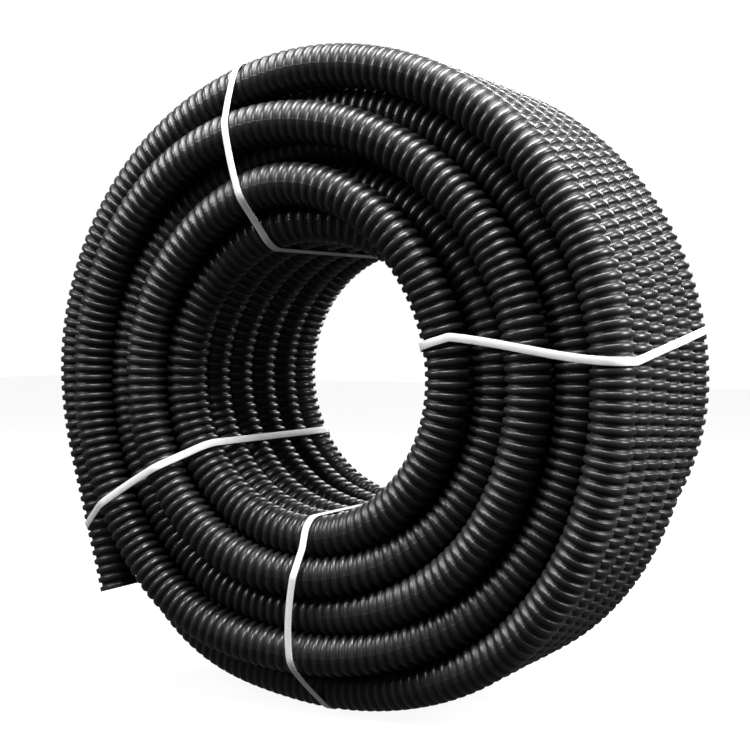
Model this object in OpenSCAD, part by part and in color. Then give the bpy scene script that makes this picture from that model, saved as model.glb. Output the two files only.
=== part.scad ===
// Coil of black corrugated conduit, wound in five layers and held by four flat straps.
// It stands on its rim. The winding axis lies along Y and the front end faces -Y.

/* [Conduit] */
// Outside diameter of the conduit over its ribs
tube_od = 50; // [32:1:63]
// Depth of the grooves between the ribs
rib_depth = 3.4; // [2:0.1:4.5]
// Distance from one rib to the next along the conduit
rib_pitch = 11.8; // [8:0.1:15]
// Share of the rib pitch taken by the flat top of a rib
rib_top_share = 0.42; // [0.3:0.01:0.5]
// Share of the rib pitch taken by each sloping side of a rib
rib_side_share = 0.12; // [0.08:0.01:0.2]
// Wall thickness
wall = 1.2; // [0.8:0.1:2.5]

/* [Coil] */
// Diameter of the clear bore inside the innermost turns
bore_d = 332; // [260:2:420]
// How far the ribs of neighbouring turns sit into each other's grooves
nest = 1; // [0.6:0.1:2]
// Turns side by side in one layer
turns = 6; // [4:1:8]

/* [Free end] */
// Where round the coil the free end leaves the outermost layer, in degrees from +X towards +Z
end_leaves_at = 196; // [190:1:205]
// Ribs on the straight free end
end_ribs = 15; // [10:1:16]
// Where round the coil the outermost turn has stepped back by a whole turn, in degrees
stepped_back_at = 185; // [182:1:190]

/* [Straps] */
// Width of a strap
strap_w = 9; // [6:0.5:15]
// Thickness of a strap
strap_t = 0.8; // [0.5:0.1:1.2]
// Clearance between a strap and the ribs that it is drawn over
strap_gap = 0.5; // [0.3:0.1:0.8]
// Length of the welded overlap of a strap
lap_length = 60; // [30:5:90]
// Distance of the overlap from the front of the coil
lap_from_front = 120; // [60:5:150]
// Angle of the right-hand strap round the coil
right_strap_at = 8; // [2:1:20]
// Angle of the top strap
top_strap_at = 108; // [95:1:120]
// Angle of the left-hand strap
left_strap_at = 208; // [203:1:212]
// Angle of the bottom strap
bottom_strap_at = 267; // [255:1:280]

/* [Hidden] */
$fn = 96;
conduit_black = [0.05, 0.05, 0.055];
strap_white = [0.9, 0.9, 0.88];

tube_r = tube_od / 2;
turn_pitch = tube_od - nest;
layer_step = turn_pitch * sqrt(3) / 2;
layers = 5;
first_layer_r = bore_d / 2 + tube_r;
outer_layer_r = first_layer_r + (layers - 1) * layer_step;
coil_r = outer_layer_r + tube_r;
last_turn = (turns - 1) * turn_pitch;
// An even layer lies in the grooves of the layers beside it. Its front turn crosses from half a
// turn behind them on the right to half a turn in front of them on the left, so it lies tilted.
crossing = turn_pitch / 2;
fill_w = 0.6 * tube_od;
core_recess = 0.3 * turn_pitch;

rib_top = rib_top_share * rib_pitch;
rib_side = rib_side_share * rib_pitch;
rib_root = rib_pitch - rib_top - 2 * rib_side;
groove_r = tube_r - rib_depth;
// Depth by which the free end runs on into the turn that it leaves
sunk = 2;

// A strap bends round a turn in flats of this many degrees
bend_step = 6;
strap_r = tube_r + strap_gap;
strap_reach = strap_gap + strap_t;
off_bottom = abs(bottom_strap_at - 270);
rim_low = max(coil_r, (coil_r + strap_reach) * cos(off_bottom) + strap_w / 2 * sin(off_bottom));
front_reach = crossing + tube_r;
back_reach = last_turn + tube_r + strap_gap + 2 * strap_t;

function layer_r(n) = first_layer_r + (n - 1) * layer_step;
// How far in front of the coil's front turn an even layer's front turn lies at an angle.
function crossing_at(angle) = -crossing * cos(angle);
// How far behind the front turn the outermost turn lies at an angle, below the coil.
function step_back_at(angle) = turn_pitch / 2 * (1 - cos(angle));

// Takes a shape turned about Z, with +Z towards the front, to its place in the standing coil.
module in_coil() {
  translate([0, (front_reach - back_reach) / 2, rim_low]) rotate([90, 0, 0]) children();
}

// Section of one turn of conduit, a distance behind the front turn.
module turn_section(n, behind) {
  translate([layer_r(n), -behind]) circle(r = tube_r);
}

// Half section of the wound layers, apart from the tilted turns and the outermost one.
module winding_section() {
  for (n = [1, 3], k = [0 : turns - 1]) turn_section(n, k * turn_pitch);
  for (k = [1 : turns - 1]) turn_section(5, k * turn_pitch);
  for (n = [2, 4]) turn_section(n, last_turn - turn_pitch / 2);
  polygon([
    [layer_r(1), 0], [layer_r(2), -core_recess], [layer_r(3), 0], [layer_r(4), -core_recess],
    [layer_r(5), -turn_pitch], [layer_r(5), -last_turn],
    for (n = [4 : -1 : 1]) [layer_r(n), n % 2 == 0 ? turn_pitch / 2 - last_turn : -last_turn]
  ]);
}

// Front turn of an even layer, with the filling behind it.
module tilted_turn(n) {
  rotate([0, asin(crossing / layer_r(n)), 0]) rotate_extrude() {
    turn_section(n, 0);
    translate([layer_r(n) - fill_w / 2, -0.6 * turn_pitch]) square([fill_w, 0.6 * turn_pitch]);
  }
}

// Front turn of the outer layer, from the right over the top to where the free end leaves it.
module outermost_turn() {
  rotate_extrude(angle = end_leaves_at) turn_section(5, 0);
}

// The same turn before that: it steps back by one turn below the coil, to pass the free end.
module step_back_turn() {
  translate([0, 0, -turn_pitch / 2]) rotate([0, -asin(turn_pitch / 2 / layer_r(5)), 0])
    rotate([0, 0, stepped_back_at]) rotate_extrude(angle = 360 - stepped_back_at)
      translate([layer_r(5), 0]) circle(r = tube_r - 0.2);
}

// Straight, open end of the conduit with its ribs and its wall, along +Z. It starts in a groove.
module free_end() {
  outside = concat([[groove_r, -sunk]], [
    for (i = [0 : end_ribs - 1], p = [
      [groove_r, 0], [groove_r, rib_root], [tube_r, rib_root + rib_side],
      [tube_r, rib_pitch - rib_side]
    ]) [p[0], p[1] + i * rib_pitch]
  ]);
  inside = [for (i = [len(outside) - 1 : -1 : 0]) [outside[i][0] - wall, outside[i][1]]];
  rotate_extrude() polygon(concat(outside, inside));
}

module conduit() {
  color(conduit_black) in_coil() union() {
    rotate_extrude() winding_section();
    for (n = [2, 4]) tilted_turn(n);
    outermost_turn();
    step_back_turn();
    rotate([0, 0, end_leaves_at]) translate([layer_r(5), 0, 0]) rotate([-90, 0, 0]) free_end();
  }
}

// Outline drawn round equal circles at the corners, which are listed clockwise.
function outward(p, q) = atan2(q[0] - p[0], p[1] - q[1]);
function drawn_round(corners, r) = [
  for (i = [0 : len(corners) - 1])
    let (
      before = corners[(i + len(corners) - 1) % len(corners)],
      here = corners[i],
      after = corners[(i + 1) % len(corners)],
      start = outward(before, here),
      bend = (start - outward(here, after) + 360) % 360,
      steps = ceil(bend / bend_step)
    )
    for (k = [0 : steps]) here + r * [cos(start - bend * k / steps), sin(start - bend * k / steps)]
];

// One strap: a flat band drawn round the section of the coil, with its two ends welded together.
module strap(angle, outer_turn, lap_on_rim = true) {
  width_angle = asin(strap_w / 2 / layer_r(2));
  ahead = max(crossing_at(angle - width_angle), crossing_at(angle + width_angle));
  rim_back = [layer_r(5), -last_turn];
  corners = concat(
    [[layer_r(1), 0]],
    ahead > 0 ? [[layer_r(2), ahead], [layer_r(4), ahead]] : [],
    [outer_turn, rim_back, [layer_r(1), -last_turn]]
  );
  from = lap_on_rim ? outer_turn : rim_back;
  to = lap_on_rim ? rim_back : [layer_r(1), -last_turn];
  along = (to - from) / norm(to - from);
  out = [-along[1], along[0]];
  lap_start = lap_on_rim ? lap_from_front : (norm(to - from) - lap_length) / 2;
  lap = from + along * lap_start + out * (strap_r + strap_t / 2);
  raised = out * 1.5 * strap_t;
  color(strap_white) in_coil() rotate([0, 0, angle]) rotate([90, 0, 0])
    linear_extrude(strap_w, center = true) difference() {
      union() {
        polygon(drawn_round(corners, strap_r + strap_t));
        polygon([lap, lap + raised, lap + raised + along * lap_length, lap + along * lap_length]);
      }
      polygon(drawn_round(corners, strap_r));
    }
}

module strap_right() strap(right_strap_at, [layer_r(5), 0]);
module strap_top() strap(top_strap_at, [layer_r(5), 0]);
module strap_bottom() {
  strap(bottom_strap_at, [layer_r(5), -step_back_at(bottom_strap_at)], lap_on_rim = false);
}
// The left-hand strap holds the free end where it already stands away from its layer.
module strap_left() {
  off = left_strap_at - end_leaves_at;
  stand_off = layer_r(5) / cos(off) + tube_r / cos(off) + strap_w / 2 * tan(off) - tube_r;
  strap(left_strap_at, [stand_off, 0]);
}

conduit();
strap_right();
strap_top();
strap_left();
strap_bottom();
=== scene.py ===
"""Looks of the strapped coil of black corrugated conduit: its wound turns, free end and straps."""

import math

import bpy
import numpy as np
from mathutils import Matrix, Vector


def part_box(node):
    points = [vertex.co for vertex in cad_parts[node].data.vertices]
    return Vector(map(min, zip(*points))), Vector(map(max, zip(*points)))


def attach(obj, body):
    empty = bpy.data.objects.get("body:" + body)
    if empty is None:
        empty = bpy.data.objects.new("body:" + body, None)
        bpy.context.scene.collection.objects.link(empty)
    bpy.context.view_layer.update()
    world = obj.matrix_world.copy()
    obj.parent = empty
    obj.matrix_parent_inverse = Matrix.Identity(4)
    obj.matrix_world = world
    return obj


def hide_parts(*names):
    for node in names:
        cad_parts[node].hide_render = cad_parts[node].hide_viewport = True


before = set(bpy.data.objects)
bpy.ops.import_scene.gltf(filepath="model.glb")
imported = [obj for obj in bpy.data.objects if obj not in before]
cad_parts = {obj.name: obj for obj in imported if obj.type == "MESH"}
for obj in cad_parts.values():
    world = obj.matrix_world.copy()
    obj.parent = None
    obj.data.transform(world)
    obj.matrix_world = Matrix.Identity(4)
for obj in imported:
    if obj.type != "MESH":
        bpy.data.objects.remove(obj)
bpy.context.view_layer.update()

# ---------------------------------------------------------------- sizes, in metres
MM = 0.001
TUBE_OD = 50 * MM
RIB_DEPTH = 3.4 * MM
RIB_PITCH = 11.8 * MM
RIB_TOP_SHARE = 0.42
RIB_SIDE_SHARE = 0.12
WALL = 1.2 * MM
BORE_D = 332 * MM
NEST = 1 * MM
TURNS = 6
LAYERS = 5
END_RIBS = 15
STRAP_W = 9 * MM
STRAP_T = 0.8 * MM
STRAP_GAP = 0.5 * MM
LAP_LENGTH = 60 * MM
LAP_FROM_FRONT = 120 * MM

TUBE_R = TUBE_OD / 2
TURN_PITCH = TUBE_OD - NEST
LAYER_STEP = TURN_PITCH * math.sqrt(3) / 2
FIRST_R = BORE_D / 2 + TUBE_R
COIL_R = FIRST_R + (LAYERS - 1) * LAYER_STEP + TUBE_R
LAST_TURN = (TURNS - 1) * TURN_PITCH

coil_low, coil_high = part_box("conduit")
AXIS_Z = coil_high[2] - COIL_R
FRONT_Y = coil_low[1] + TURN_PITCH / 2 + TUBE_R

# Angles round the coil are in degrees, counted from +X towards +Z.
END_LEAVES_AT = 196
# Angle of each strap in the bore and on the rim at the front, then on the rim and in the bore at
# the back: they were drawn tight a little askew.
STRAPS = {
    "strap_right": (15.5, 4.0, 8.7, 10.0),
    "strap_top": (109.0, 105.0, 106.5, 107.0),
    "strap_left": (208.0, 209.5, 208.0, 208.0),
    "strap_bottom": (269.5, 271.5, 267.0, 267.0),
}
STRAP_AT = {name: sum(corners) / 4 for name, corners in STRAPS.items()}
# How far each strap bows to the side half way up the front.
STRAP_BOW = {"strap_right": -2.5, "strap_top": 1.5, "strap_left": -0.5, "strap_bottom": -3.5}


# ---------------------------------------------------------------- the winding
def smooth(t):
    t = np.clip(t, 0, 1)
    return t * t * (3 - 2 * t)


def between(angle, start, end):
    """How far a move that runs from one angle to another has come, from 0 to 1."""
    return smooth((angle - start) / (end - start))


def climb_arc(done):
    """A conduit that climbs a layer rolls over the turn beside it: steps across and up."""
    swing = np.radians(60) * (1 - done)
    return np.cos(swing), -np.sin(swing) * TURN_PITCH / LAYER_STEP


def room_for_climb(done):
    """How far the turns below have stepped aside for the climbing one, from 0 to 1."""
    across, up = climb_arc(done)
    aside = (0.5 - across) * TURN_PITCH
    height = (1 + up) * LAYER_STEP
    gap = aside + np.sqrt(np.maximum(TURN_PITCH**2 - height**2, 0))
    return 1 - gap / TURN_PITCH


# Where a layer's last turn climbs, over the top at the front and below the coil at the back.
TOP_CLIMB = {1: (8, 108), 3: (18, 148)}
LOW_CLIMB = {2: (250, 332), 4: (285, 360)}
# Where the turns of an even layer cross the layers beside them, and where layer 3 starts back.
CROSSING = (225, 356)
STARTING_BACK = (185, 252)


# Each of these gives, at an angle, the layer and how many turns the conduit lies behind the front.
def flat(layer, k):
    return lambda a: (layer + 0 * a, k + 0 * a)


def step_over_top(layer, k):
    return lambda a: (layer + 0 * a, k - room_for_climb(between(a, *TOP_CLIMB[layer])))


def step_below(layer, k):
    return lambda a: (layer + 0 * a, k - between(a, *STARTING_BACK))


def outer_step_below(layer, k):
    return lambda a: (layer + 0 * a, k - (1 + np.cos(np.radians(a))) / 2)


def cross_below(layer, k):
    return lambda a: (layer + 0 * a, k + between(a, *CROSSING))


def climb_over_top(layer):
    def lie(a):
        across, up = climb_arc(between(a, *TOP_CLIMB[layer]))
        return layer + 1 + up, 0.5 - across

    return lie


def climb_below(layer):
    def lie(a):
        across, up = climb_arc(between(a, *LOW_CLIMB[layer]))
        return layer + 1 + up, TURNS - 2 + across

    return lie


def even_layer(layer):
    return [
        half
        for i in range(TURNS - 1)
        for half in (cross_below(layer, i - 0.5), flat(layer, i + 0.5))
    ]


def half_turns():
    """The lie of the conduit over each half turn: odd ones pass below, even ones over the top."""
    halves = [flat(1, 5), flat(1, 5)]
    for k in range(TURNS - 1, 0, -1):
        halves += [step_over_top(1, k), flat(1, k - 1)]
    halves += [climb_over_top(1)] + even_layer(2) + [climb_below(2)]
    halves += [flat(3, 5), step_below(3, 5)]
    for k in range(TURNS - 2, 0, -1):
        halves += [step_over_top(3, k), flat(3, k - 1)]
    halves += [climb_over_top(3)] + even_layer(4) + [climb_below(4)]
    for k in range(TURNS - 1, 0, -1):
        halves += [flat(5, k), outer_step_below(5, k)]
    return halves + [flat(5, 0), flat(5, 0)]


# "Turned" is the angle counted on and on from the inner end of the conduit to its free end.
HALVES = half_turns()
STARTS_AT = 100.0
LEAVES_AT = 180.0 * (len(HALVES) - 1) + END_LEAVES_AT - 180

# Layers from this number on belong to the outermost one.
OUTERMOST = LAYERS - 0.1
WANDER_OUT, WANDER_ACROSS = 1.1 * MM, 1.3 * MM
# A strap holds the turns still over this many degrees on either side.
STRAP_HOLDS = 13
# Rises of the turns over an even winding: height, angle of the middle and half width.
LOOSE_ON_RIGHT = (-22 * MM, 350, 85)
BESIDE_BOTTOM_STRAP = [(13 * MM, 238, 20), (10 * MM, 314, 26)]
UNDER_BOTTOM_STRAP = (1, 270, 14)
ON_LEFT = (2.5 * MM, 178, 34)
drift = np.random.default_rng(11)
DRIFT = [
    (drift.uniform(0.004, 0.021), drift.uniform(0, 6.28), drift.uniform(0, 6.28))
    for _ in range(5)
]


def swell(turned, height, at, width):
    """A rise and fall round one side of the coil."""
    away = (turned - at + 180) % 360 - 180
    return height * np.exp(-((away / width) ** 2))


def slack(turned):
    """Small wander of the wound turns, which the straps hold still where they cross."""
    held = np.ones_like(turned)
    for at in STRAP_AT.values():
        held *= 1 - swell(turned, 1, at, STRAP_HOLDS)
    out = sum(np.sin(turned * f + p) for f, p, _ in DRIFT) / len(DRIFT)
    across = sum(np.sin(turned * f * 0.8 + q) for f, _, q in DRIFT) / len(DRIFT)
    return WANDER_OUT * out * held, WANDER_ACROSS * across * held


def lie_at(turned):
    """Layer and turns behind the front one."""
    layer, k = np.empty_like(turned), np.empty_like(turned)
    half = np.clip((turned // 180).astype(int), 0, len(HALVES) - 1)
    for i in np.unique(half):
        here = half == i
        layer[here], k[here] = HALVES[i](turned[here] - 360 * (i // 2))
    return layer, k


def out_of_round(turned, layer):
    """The inner layers lie looser on the right, and the coil has settled on its rim."""
    above_first = (np.minimum(layer, LAYERS) - 1) / (LAYERS - 1)
    loose = swell(turned, *LOOSE_ON_RIGHT) * (1 - above_first)
    settled = sum(swell(turned, *rise) for rise in BESIDE_BOTTOM_STRAP)
    settled = settled * (1 - swell(turned, *UNDER_BOTTOM_STRAP)) + swell(turned, *ON_LEFT)
    return loose + settled * above_first


def section_at(turned):
    """Distance from the winding axis and depth behind the front turn."""
    layer, k = lie_at(turned)
    out, across = slack(turned)
    # The outermost layer has turns only beneath it, so it wanders inwards and less.
    out = np.where(layer > OUTERMOST, np.minimum(out, 0) * 0.6, out)
    out = out + out_of_round(turned, layer)
    return FIRST_R + (layer - 1) * LAYER_STEP + out, k * TURN_PITCH + across


TURN_STEP = 0.5
# Degrees over which the conduit comes to its own place before the free end leaves.
END_SETTLES = 25
END_POINTS = 60
# The free end counts as a layer of its own.
FREE_END = 6.0


def centre_line():
    """Points along the middle of the conduit, with the way out, the layer and the turn."""
    turned = np.append(np.arange(STARTS_AT, LEAVES_AT, TURN_STEP), LEAVES_AT)
    rho, depth = section_at(turned)
    last = turned > LEAVES_AT - END_SETTLES
    fade = smooth((turned[last] - LEAVES_AT + END_SETTLES) / END_SETTLES)
    rho[last] += fade * (COIL_R - TUBE_R - rho[last])
    depth[last] *= 1 - fade
    a = np.radians(turned)
    points = np.stack([rho * np.cos(a), FRONT_Y + depth, AXIS_Z + rho * np.sin(a)], 1)
    way = np.array([-math.sin(a[-1]), 0, math.cos(a[-1])])
    reach = END_RIBS * RIB_PITCH - RIB_SIDE_SHARE * RIB_PITCH
    straight = np.linspace(0, reach, END_POINTS)[1:, None] * way
    points = np.concatenate([points, points[-1] + straight])
    out = np.stack([np.cos(a), 0 * a, np.sin(a)], 1)
    out = np.concatenate([out, np.repeat(out[-1:], len(straight), 0)])
    layer, k = lie_at(turned)
    layer = np.concatenate([layer, np.full(len(straight), FREE_END)])
    k = np.concatenate([k, np.zeros(len(straight))])
    return points, out, layer, k


LINE, OUT, LAYER_AT, K_AT = centre_line()
# A "station" is a distance along the centre line.
RUN = np.concatenate([[0], np.cumsum(np.linalg.norm(np.diff(LINE, axis=0), axis=1))])
# The course at a station is measured over this distance on either side.
PROBE = 2 * MM


def along(s, values):
    return np.stack([np.interp(s, RUN, values[:, i]) for i in range(3)], 1)


def unit(ways):
    return ways / np.linalg.norm(ways, axis=1)[:, None]


def course_at(stations, near=None):
    """Middle of the conduit at each station, and the ways ahead, out and aside near it."""
    near = stations if near is None else near
    ahead = unit(along(near + PROBE, LINE) - along(near - PROBE, LINE))
    out = along(stations, OUT)
    out = unit(out - ahead * np.sum(out * ahead, 1)[:, None])
    return along(stations, LINE), ahead, out, np.cross(ahead, out)


# ---------------------------------------------------------------- meshes
def mesh_piece(name, points, quads, uvs, finish, slot, replaces=()):
    """A piece from arrays: corners, four-sided faces, and the two finish coordinates of each."""
    mesh = bpy.data.meshes.new(name)
    corners = quads.ravel()
    mesh.vertices.add(len(points))
    mesh.vertices.foreach_set("co", points.astype(np.float32).ravel())
    mesh.loops.add(len(corners))
    mesh.loops.foreach_set("vertex_index", corners.astype(np.int32))
    mesh.polygons.add(len(quads))
    mesh.polygons.foreach_set("loop_start", np.arange(0, len(corners), 4, dtype=np.int32))
    mesh.polygons.foreach_set("loop_total", np.full(len(quads), 4, dtype=np.int32))
    mesh.polygons.foreach_set("use_smooth", np.ones(len(quads), dtype=bool))
    layer = mesh.uv_layers.new(name="run")
    layer.data.foreach_set("uv", uvs.astype(np.float32).ravel())
    mesh.update(calc_edges=True)
    mesh.validate()
    mesh.materials.append(finish)
    piece = bpy.data.objects.new(name, mesh)
    bpy.context.collection.objects.link(piece)
    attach(piece, "root")
    if replaces:
        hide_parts(*replaces)


def joined(parts):
    """Several parts (points, faces, finish coordinates) as one."""
    points, quads, uvs, count = [], [], [], 0
    for p, q, t in parts:
        points.append(p)
        quads.append(q + count)
        uvs.append(t)
        count += len(p)
    return np.concatenate(points), np.concatenate(quads), np.concatenate(uvs)


def ring_quads(rings, sides, closed=False):
    """Four-sided faces between rings of corners that follow one another."""
    i = np.arange(rings if closed else rings - 1)[:, None]
    j = np.arange(sides)[None]
    here, following, after = i * sides, (i + 1) % rings * sides, (j + 1) % sides
    quads = np.stack([here + j, here + after, following + after, following + j], -1)
    return quads.reshape(-1, 4)


def ring_uvs(u, v_start, v_end):
    """Finish coordinates of those faces: u goes from ring to ring and v round each ring."""
    u0, u1 = u[:-1, None] + 0 * v_start, u[1:, None] + 0 * v_start
    v0, v1 = v_start + 0 * u0, v_end + 0 * u0
    return np.stack([u0, v0, u0, v1, u1, v1, u1, v0], -1).reshape(-1, 2)


def even_uvs(quads, u=0.5):
    return np.tile([u, 0.5], (quads.size, 1))


def ring_ways(out, aside, sides):
    """Ways from the middle to the corners of a ring."""
    a = np.arange(sides) * 2 * np.pi / sides
    return out[..., None, :] * np.cos(a)[:, None] + aside[..., None, :] * np.sin(a)[:, None]


def tube(stations, radii, sides, u):
    """Skin round the centre line: one ring of corners at each station."""
    middle, _, out, aside = course_at(stations)
    points = middle[:, None] + ring_ways(out, aside, sides) * radii[:, None, None]
    j = np.arange(sides)
    uvs = ring_uvs(u, j / sides, (j + 1) / sides)
    return points.reshape(-1, 3), ring_quads(len(stations), sides), uvs


# Place in the rib pitch, from the rib's middle, and height over the groove of each ring of a rib.
CREST = RIB_TOP_SHARE / 2
FOOT = CREST + RIB_SIDE_SHARE
FINE_RIB = [
    (-FOOT - 0.01, 0.0),
    (-CREST - 0.045, 0.76),
    (-CREST + 0.03, 1.0),
    (CREST - 0.03, 1.0),
    (CREST + 0.045, 0.76),
    (FOOT + 0.01, 0.0),
]
PLAIN_RIB = [(-FOOT, 0.0), (-CREST + 0.04, 1.0), (CREST - 0.04, 1.0), (FOOT, 0.0)]
# The same for the inside of the wall, counted inwards from a cut end.
INSIDE_RIB = [(0.24, 1.0), (0.32, 0.9), (0.46, 0.08), (0.54, 0.0), (0.84, 0.0), (0.96, 1.0)]

LAST_RIB = RUN[-1] - CREST * RIB_PITCH
RIBS = int((LAST_RIB - CREST * RIB_PITCH) / RIB_PITCH) + 1
RIB_AT = LAST_RIB - (RIBS - 1 - np.arange(RIBS)) * RIB_PITCH
INNER_END = RIB_AT[0] - CREST * RIB_PITCH

FINE_SIDES, PLAIN_SIDES, END_SIDES = 20, 12, 32
INNER_MOUTH_RIBS, FREE_MOUTH_RIBS = 3, 7
# A cut end's closing disc, deep inside the conduit, takes the darkest painted shade tone of the
# grooves and stands in for the shade further in.
GROOVE_SHADE_TONE = 0.05


def rib_rings(ribs, profile):
    """Stations, radii and finish coordinates of the rings of a run of ribs."""
    place, high = np.array(profile).T
    stations = (RIB_AT[ribs][:, None] + place * RIB_PITCH).ravel()
    radii = np.tile(TUBE_R - RIB_DEPTH * (1 - high), len(ribs))
    return np.stack([stations, radii, (ribs[:, None] + 0.5 + place).ravel()])


def skin(first, last, group):
    """Skin of a run of ribs, with the groove before it, or with the conduit's cut end."""
    plain = group == "inner_turns"
    sides = END_SIDES if group == "free_end" else PLAIN_SIDES if plain else FINE_SIDES
    rings = rib_rings(np.arange(first, last), PLAIN_RIB if plain else FINE_RIB)
    if first > 0:
        groove = 1 - 2 * FOOT
        before = [rings[0, 0] - groove * RIB_PITCH, TUBE_R - RIB_DEPTH, rings[2, 0] - groove]
        rings = np.column_stack([before, rings])
    else:
        rings = rings[:, rings[0] > RIB_AT[0] - 0.2 * RIB_PITCH]
        rings = np.column_stack([[INNER_END, TUBE_R, 0.5 - CREST], rings])
    if last == RIBS:
        rings = rings[:, rings[0] < RUN[-1] - 0.05 * RIB_PITCH]
        rings = np.column_stack([rings, [RUN[-1], TUBE_R, RIBS - 0.5 + CREST]])
    return tube(rings[0], rings[1], sides, rings[2])


def disc(middle, out, aside, radius, sides):
    """A flat closing face of small rings, so that each of its faces has four corners."""
    ring = ring_ways(out, aside, sides)
    points = np.concatenate([middle + ring * radius * f for f in (1.0, 0.5, 0.02)])
    quads = ring_quads(3, sides)
    # The closing face gets the grooves' painted shade tone.
    return points, quads, even_uvs(quads, GROOVE_SHADE_TONE)


def mouth(at_start, sides, ribs_deep):
    """Cut end of the conduit: the edge of its wall, and the inside as far as one sees in."""
    first, inwards = (INNER_END, 1) if at_start else (RUN[-1], -1)
    stations, radii = [first, first], [TUBE_R, TUBE_R - WALL]
    for i in range(ribs_deep):
        for place, high in INSIDE_RIB:
            stations.append(first + inwards * (i + place) * RIB_PITCH)
            radii.append(TUBE_R - WALL - RIB_DEPTH * (1 - high))
    stations, radii = np.array(stations), np.array(radii)
    near = np.clip(stations, 3 * MM, RUN[-1] - 3 * MM)
    middle, _, out, aside = course_at(stations, near)
    points = middle[:, None] + ring_ways(out, aside, sides) * radii[:, None, None]
    quads = ring_quads(len(stations), sides)
    inside = (points.reshape(-1, 3), quads, even_uvs(quads))
    end = disc(middle[-1], out[-1], aside[-1], radii[-1], sides)
    if not at_start:
        return [inside, end]
    return [(p, q[:, ::-1], t) for p, q, t in (inside, end)]


# ---------------------------------------------------------------- finishes
class Amount:
    """A value that varies over a surface. Sums and products of amounts add the nodes."""

    def __init__(self, finish, socket):
        self.finish, self.socket = finish, socket

    def math(self, operation, *others):
        return self.finish.node("ShaderNodeMath", {"operation": operation}, self, *others)

    def __add__(self, other):
        return self.math("ADD", other)

    def __sub__(self, other):
        return self.math("SUBTRACT", other)

    def __mul__(self, other):
        return self.math("MULTIPLY", other)

    def __rsub__(self, other):
        return self.finish.node("ShaderNodeMath", {"operation": "SUBTRACT"}, other, self)

    __radd__, __rmul__ = __add__, __mul__

    def part(self):
        return self.math("FRACT")

    def size(self):
        return self.math("ABSOLUTE")

    def eased(self, start, end):
        """0 up to the start and 1 from the end on."""
        settings = {"interpolation_type": "SMOOTHSTEP"}
        limits = {"From Min": start, "From Max": end}
        return self.finish.node("ShaderNodeMapRange", settings, Value=self, **limits)


class Finish:
    """A material that is built up from nodes."""

    def __init__(self, name, color, roughness, **uniform):
        self.material = bpy.data.materials.new(name)
        self.material.use_nodes = True
        self.tree = self.material.node_tree
        self.shader = self.tree.nodes["Principled BSDF"]
        self.shader.inputs["Base Color"].default_value = (*color, 1)
        self.shader.inputs["Roughness"].default_value = roughness
        for socket, value in uniform.items():
            self.shader.inputs[socket.replace("_", " ")].default_value = value

    def node(self, kind, settings, *values, out=0, **named):
        node = self.tree.nodes.new(kind)
        for key, value in settings.items():
            setattr(node, key, value)
        for key, value in list(enumerate(values)) + list(named.items()):
            if isinstance(value, Amount):
                self.tree.links.new(value.socket, node.inputs[key])
            else:
                node.inputs[key].default_value = value
        return Amount(self, node.outputs[out])

    def noise(self, scale, detail, rough=0.5):
        place = self.node("ShaderNodeTexCoord", {}, out="Object")
        inputs = {"Vector": place, "Scale": scale, "Detail": detail, "Roughness": rough}
        return self.node("ShaderNodeTexNoise", {}, **inputs)

    def run(self):
        """The two finish coordinates of the mesh."""
        uv = self.node("ShaderNodeUVMap", {"uv_map": "run"})
        return [self.node("ShaderNodeSeparateXYZ", {}, uv, out=axis) for axis in "XY"]

    def blend(self, amount, first, second):
        mix = self.tree.nodes.new("ShaderNodeMix")
        mix.data_type = "RGBA"
        self.tree.links.new(amount.socket, mix.inputs["Factor"])
        for key, value in (("A", first), ("B", second)):
            socket = [s for s in mix.inputs if s.name == key and s.type == "RGBA"][0]
            if isinstance(value, Amount):
                self.tree.links.new(value.socket, socket)
            else:
                socket.default_value = (*value, 1)
        return Amount(self, [s for s in mix.outputs if s.type == "RGBA"][0])

    def feed(self, socket, amount):
        self.tree.links.new(amount.socket, self.shader.inputs[socket])

    def bump(self, height, strength, distance):
        inputs = {"Height": height, "Strength": strength, "Distance": distance}
        self.feed("Normal", self.node("ShaderNodeBump", {}, **inputs))


def black_polyethylene(name):
    """Satin black plastic: matt grooves coloured darker as painted shade, rubbed rib tops and a
    mould line.
    """
    finish = Finish(name, (0.012, 0.012, 0.013), 0.36, Specular_IOR_Level=0.5)
    u, v = finish.run()
    top = 1 - (u.part() - 0.5).size().eased(0.17, 0.3)
    cloud = finish.noise(14.0, 3.0)
    grain = finish.noise(900.0, 2.0)
    rubbed = finish.noise(170.0, 3.0, 0.7).eased(0.58, 0.74) * top
    # Painted shade: the grooves get a darker colour than the rib tops, as shade in the recesses.
    tone = finish.blend(top, (0.0045, 0.0045, 0.005), (0.016, 0.016, 0.0175))
    tone = finish.blend(cloud.eased(0.35, 0.75) * 0.35, tone, (0.022, 0.022, 0.023))
    tone = finish.blend(rubbed * 0.4, tone, (0.045, 0.045, 0.047))
    finish.feed("Base Color", tone)
    finish.feed("Roughness", 0.5 - 0.19 * top + 0.1 * (cloud - 0.5) + 0.12 * rubbed)
    seam = 1 - ((v * 2).part() - 0.5).size().eased(0.006, 0.016)
    finish.bump(grain * 0.25 + seam * 0.9 + cloud * 0.3, 0.45, 0.4 * MM)
    return finish.material


def white_strapping(name):
    """Embossed white polypropylene band."""
    finish = Finish(name, (0.84, 0.84, 0.82), 0.42, Specular_IOR_Level=0.45)
    u, v = finish.run()
    one, two = (u + v).part() - 0.5, (u - v).part() - 0.5
    knurl = one.size().eased(0.32, 0.48) + two.size().eased(0.32, 0.48)
    dull = finish.noise(60.0, 4.0, 0.6)
    tone = finish.blend(dull.eased(0.45, 0.75) * 0.3, (0.86, 0.86, 0.845), (0.72, 0.72, 0.7))
    finish.feed("Base Color", tone)
    finish.feed("Roughness", 0.36 + 0.2 * dull)
    finish.bump(knurl * 0.5, 0.35, 0.3 * MM)
    return finish.material


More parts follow.
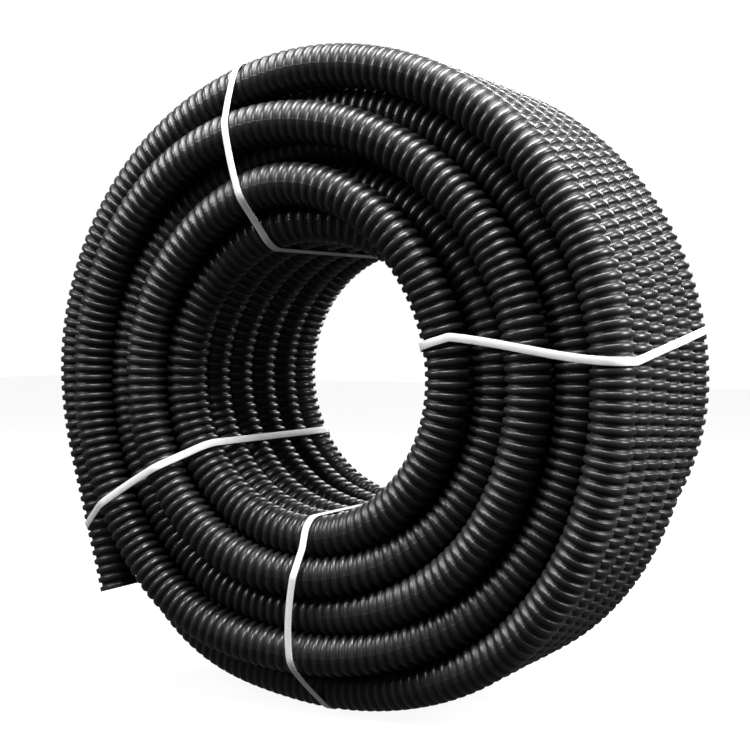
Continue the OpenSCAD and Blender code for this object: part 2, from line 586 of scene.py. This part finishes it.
def pressed_weld(name):
    """Grey of the bars that a hot jaw has pressed into a strap."""
    finish = Finish(name, (0.2, 0.2, 0.2), 0.5)
    soot = finish.noise(700.0, 2.0).eased(0.35, 0.65)
    finish.feed("Base Color", finish.blend(soot, (0.12, 0.12, 0.12), (0.4, 0.4, 0.39)))
    return finish.material


def glowing(name, color, strength):
    """A plain studio surface that gives off a pale light of its own."""
    finish = Finish(name, color, 1.0, Emission_Strength=strength)
    finish.shader.inputs["Emission Color"].default_value = (1, 1, 1, 1)
    return finish


# ---------------------------------------------------------------- conduit pieces
def group_of(layer, k):
    """The piece that a rib belongs to: the pieces are stretches of one conduit."""
    half = "front" if k < (TURNS - 1) / 2 else "back"
    if layer > FREE_END - 0.5:
        return "free_end"
    if layer > OUTERMOST:
        return "rim_turns_" + half
    if layer < 1.02:
        return "bore_turns_" + half
    if k < 0.93:
        return "front_face_turns"
    if k > TURNS - 2.2:
        return "back_face_turns"
    return "inner_turns"


conduit_finish = black_polyethylene("black_polyethylene")
rib_layer, rib_k = np.interp(RIB_AT, RUN, LAYER_AT), np.interp(RIB_AT, RUN, K_AT)
rib_group = [group_of(layer, k) for layer, k in zip(rib_layer, rib_k)]
stretches, start = {}, 0
for i in range(1, RIBS + 1):
    if i == RIBS or rib_group[i] != rib_group[start]:
        group = rib_group[start]
        stretches.setdefault(group, []).append(skin(start, i, group))
        start = i
stretches["free_end"] += mouth(False, END_SIDES, FREE_MOUTH_RIBS)
stretches[rib_group[0]] += mouth(True, FINE_SIDES, INNER_MOUTH_RIBS)

for group, parts in stretches.items():
    mesh_piece("conduit_" + group, *joined(parts), conduit_finish, "conduit_black", ["conduit"])


# ---------------------------------------------------------------- straps
STRAP_STEP = 2 * MM
KNURL_PITCH = 2.4 * MM
# A strap bends round a turn in steps of this many degrees.
ROUND_STEP = 5
# A strap lies on the rim from this share of the way out on, and on the back from this depth on.
ON_RIM = 0.97
ON_BACK = 0.8 * LAST_TURN


def outline_round(circles):
    """Tight band round circles (out, depth, radius): its points, going round once."""
    cloud, a = [], np.radians(np.arange(0, 360, ROUND_STEP))
    for rho, depth, radius in circles:
        cloud.append(np.stack([rho + radius * np.cos(a), depth + radius * np.sin(a)], 1))
    pts = np.concatenate(cloud)
    pts = pts[np.lexsort((pts[:, 1], pts[:, 0]))]

    def chain(points):
        kept = []
        for p in points:
            while len(kept) > 1 and np.cross(kept[-1] - kept[-2], p - kept[-2]) <= 0:
                kept.pop()
            kept.append(p)
        return kept[:-1]

    return np.array(chain(pts) + chain(pts[::-1]))


def turns_crossing(angle):
    """Where every turn, and the free end, passes a plane through the winding axis."""
    turned = np.arange(angle, LEAVES_AT, 360.0)
    rho, depth = section_at(turned[turned > STARTS_AT])
    found = [(r, d, TUBE_R) for r, d in zip(rho, depth)]
    past = (angle - END_LEAVES_AT) % 360
    if past < END_SETTLES:
        lean = math.cos(math.radians(past))
        found.append(((COIL_R - TUBE_R) / lean, 0.0, TUBE_R / lean))
    return found


def even_points(outline):
    """Points of a closed outline at even steps."""
    closed = np.concatenate([outline, outline[:1]])
    run = np.concatenate([[0], np.cumsum(np.linalg.norm(np.diff(closed, axis=0), axis=1))])
    s = np.linspace(0, run[-1], int(run[-1] / STRAP_STEP), endpoint=False)
    return np.stack([np.interp(s, run, closed[:, i]) for i in (0, 1)], 1)


def band_section(width, thick):
    """Section of a strap: a flat band with rounded edges, as (across, up) corners."""
    half, r = width / 2, thick * 0.4
    corners = []
    for sx, sy in ((1, -1), (1, 1), (-1, 1), (-1, -1)):
        for k in range(3):
            b = math.radians(45 * k)
            c, s = (math.cos(b), math.sin(b)) if sx * sy > 0 else (math.sin(b), math.cos(b))
            corners.append((sx * (half - r + r * c), sy * (thick / 2 - r + r * s)))
    return np.array(corners)


def band_end(ring, at_start):
    """Closes a band's end with small rings, so that each of its faces has four corners."""
    middle = ring.mean(0)
    points = np.concatenate([ring] + [middle + (ring - middle) * f for f in (0.5, 0.02)])
    quads = ring_quads(3, len(ring))
    quads = quads[:, ::-1] if at_start else quads
    return points, quads, even_uvs(quads)


def band(line, outward, side, thick, closed, u):
    """Sweeps a strap's section along a line of points."""
    section = band_section(STRAP_W, thick)
    points = line[:, None] + side[:, None] * section[:, :1] + outward[:, None] * section[:, 1:]
    v = section[:, 0] / KNURL_PITCH
    quads = ring_quads(len(line), len(section), closed)
    parts = [(points.reshape(-1, 3), quads, ring_uvs(u, v, np.roll(v, -1)))]
    if not closed:
        parts += [band_end(points[0], True), band_end(points[-1], False)]
    return parts


def way_round(points):
    """Way ahead at each point of a closed line."""
    return unit(np.roll(points, -1, 0) - np.roll(points, 1, 0))


def strap(name, lap_on_rim=True):
    """One closed band: tight round the turns that it crosses, with its welded overlap."""
    bore_front, rim_front, rim_back, bore_back = STRAPS[name]
    angle, bow = STRAP_AT[name], STRAP_BOW[name]
    # The band is drawn round the turns at a few angles, so that it clears them where it bows.
    crossed = [c for a in (angle - 2, angle, angle + bow) for c in turns_crossing(a)]
    circles = [(r, d, c + STRAP_GAP + STRAP_T / 2) for r, d, c in crossed]
    outline = even_points(outline_round(circles))
    up = np.clip((outline[:, 0] - FIRST_R) / (COIL_R - FIRST_R), 0, 1)
    back = np.clip(outline[:, 1] / LAST_TURN, 0, 1)
    front_at = bore_front + up * (rim_front - bore_front) + bow * 4 * up * (1 - up)
    back_at = bore_back + up * (rim_back - bore_back)
    a = np.radians(front_at + back * (back_at - front_at))
    out_way = np.stack([np.cos(a), 0 * a, np.sin(a)], 1)
    line = outline[:, :1] * out_way + np.array([0, FRONT_Y, AXIS_Z])
    line[:, 1] += outline[:, 1]
    ahead = way_round(outline)
    outward = ahead[:, 1:] * out_way
    outward[:, 1] -= ahead[:, 0]
    side = unit(np.cross(outward, way_round(line)))
    u = np.arange(len(outline) + 1) * STRAP_STEP / KNURL_PITCH
    parts = band(line, outward, side, STRAP_T, True, u)
    if lap_on_rim:
        behind = outline[:, 1] - LAP_FROM_FRONT
        on = (up > ON_RIM) & (behind > 0) & (behind < LAP_LENGTH)
    else:
        middle = (FIRST_R + COIL_R - TUBE_R) / 2
        on = (outline[:, 1] > ON_BACK) & (abs(outline[:, 0] - middle) < LAP_LENGTH / 2)
    on = np.flatnonzero(on)
    # The upper end lies on the lower one, a little uneven where it was pressed.
    lift = STRAP_T * (0.98 - 0.06 * np.cos(np.arange(len(on)) * 0.9))
    upper = line[on] + outward[on] * lift[:, None]
    parts += band(upper, outward[on], side[on], STRAP_T * 0.9, False, u[: len(on)] + 0.5)
    mesh_piece(name + "_band", *joined(parts), strap_finish, "strap_white", [name])
    weld(name, upper, outward[on], side[on])


# Points of the overlap that carry a pressed bar, and the bar's half sizes and heights.
WELD_BARS = (2, 3, 5, 6)
BAR_REACH, BAR_HALF = STRAP_W * 0.36, 0.45 * MM
BAR_LOW, BAR_HIGH = STRAP_T * 0.35, STRAP_T * 0.6


def weld(name, line, outward, side):
    """Pressed bars where the two ends of a strap are welded together."""
    corners = [
        (sx * BAR_REACH, sy * BAR_HALF, height)
        for height in (BAR_LOW, BAR_HIGH)
        for sx, sy in ((-1, -1), (1, -1), (1, 1), (-1, 1))
    ]
    quads = np.array(
        [(0, 3, 2, 1), (4, 5, 6, 7), (0, 1, 5, 4), (1, 2, 6, 5), (2, 3, 7, 6), (3, 0, 4, 7)]
    )
    parts = []
    for at in WELD_BARS:
        at = min(at, len(line) - 3)
        course = line[at + 1] - line[at]
        course /= np.linalg.norm(course)
        points = [line[at] + side[at] * x + course * y + outward[at] * z for x, y, z in corners]
        parts.append((np.array(points), quads, even_uvs(quads)))
    mesh_piece(name + "_weld", *joined(parts), weld_finish, "strap_white")


strap_finish = white_strapping("white_strapping")
weld_finish = pressed_weld("weld_grey")
for name in ("strap_right", "strap_top", "strap_left"):
    strap(name)
strap("strap_bottom", lap_on_rim=False)

# ---------------------------------------------------------------- floor, light and camera
FLOOR_REACH = 9.0
BACKDROP_R = 30

floor_finish = glowing("pale_floor", (0.12, 0.12, 0.12), 0.93)
floor_finish.shader.inputs["Specular IOR Level"].default_value = 0.0
floor_mesh = bpy.data.meshes.new("floor")
near, far = -FLOOR_REACH, FLOOR_REACH
floor_corners = [(near, near, 0), (far, near, 0), (far, far, 0), (near, far, 0)]
floor_mesh.from_pydata(floor_corners, [], [(0, 1, 2, 3)])
floor_mesh.materials.append(floor_finish.material)
floor = bpy.data.objects.new("floor", floor_mesh)
bpy.context.collection.objects.link(floor)

bpy.ops.mesh.primitive_uv_sphere_add(segments=32, ring_count=16, radius=BACKDROP_R)
backdrop = bpy.context.object
backdrop.name = "backdrop"
backdrop.data.materials.append(glowing("white_backdrop", (0, 0, 0), 1.0).material)

# The floor and the pale backdrop are seen by the camera, and don't light the black plastic.
floor.visible_glossy = floor.visible_diffuse = False
backdrop.visible_glossy = backdrop.visible_diffuse = backdrop.visible_shadow = False

world = bpy.data.worlds.new("studio")
world.use_nodes = True
world.node_tree.nodes["Background"].inputs["Color"].default_value = (1, 1, 1, 1)
world.node_tree.nodes["Background"].inputs["Strength"].default_value = 0.10
bpy.context.scene.world = world

# Each light's place, the point that it is aimed at, its size and its power in watts.
LIGHTS = {
    "overhead": ((0.3, -0.3, 2.6), (0, 0, 0.4), (1.8, 1.4), 240),
    "behind": ((-0.2, 2.9, 1.9), (0, 0, 0.6), (3.0, 1.4), 110),
    "right": ((2.6, 0.2, 1.7), (0, 0, 0.4), (1.0, 1.0), 105),
    "front_left": ((-2.0, -1.6, 2.2), (0, 0, 0.4), (1.2, 1.2), 64),
}
for name, (place, aim, size, power) in LIGHTS.items():
    data = bpy.data.lights.new(name, "AREA")
    data.shape, data.size, data.size_y, data.energy = "RECTANGLE", size[0], size[1], power
    light = bpy.data.objects.new(name, data)
    light.visible_camera = False
    light.location = place
    light.rotation_euler = (Vector(aim) - Vector(place)).to_track_quat("-Z", "Y").to_euler()
    bpy.context.collection.objects.link(light)

camera_data = bpy.data.cameras.new("camera")
camera_data.lens, camera_data.sensor_width = 65.35, 36
camera = bpy.data.objects.new("camera", camera_data)
camera.location = (0.8526, FRONT_Y - 1.3256, AXIS_Z + 0.0569)
look = Vector((-0.5043, 0.8624, -0.0318))
camera.rotation_euler = look.to_track_quat("-Z", "Y").to_euler()
bpy.context.collection.objects.link(camera)
bpy.context.scene.camera = camera
bpy.context.scene.view_settings.view_transform = "Standard"
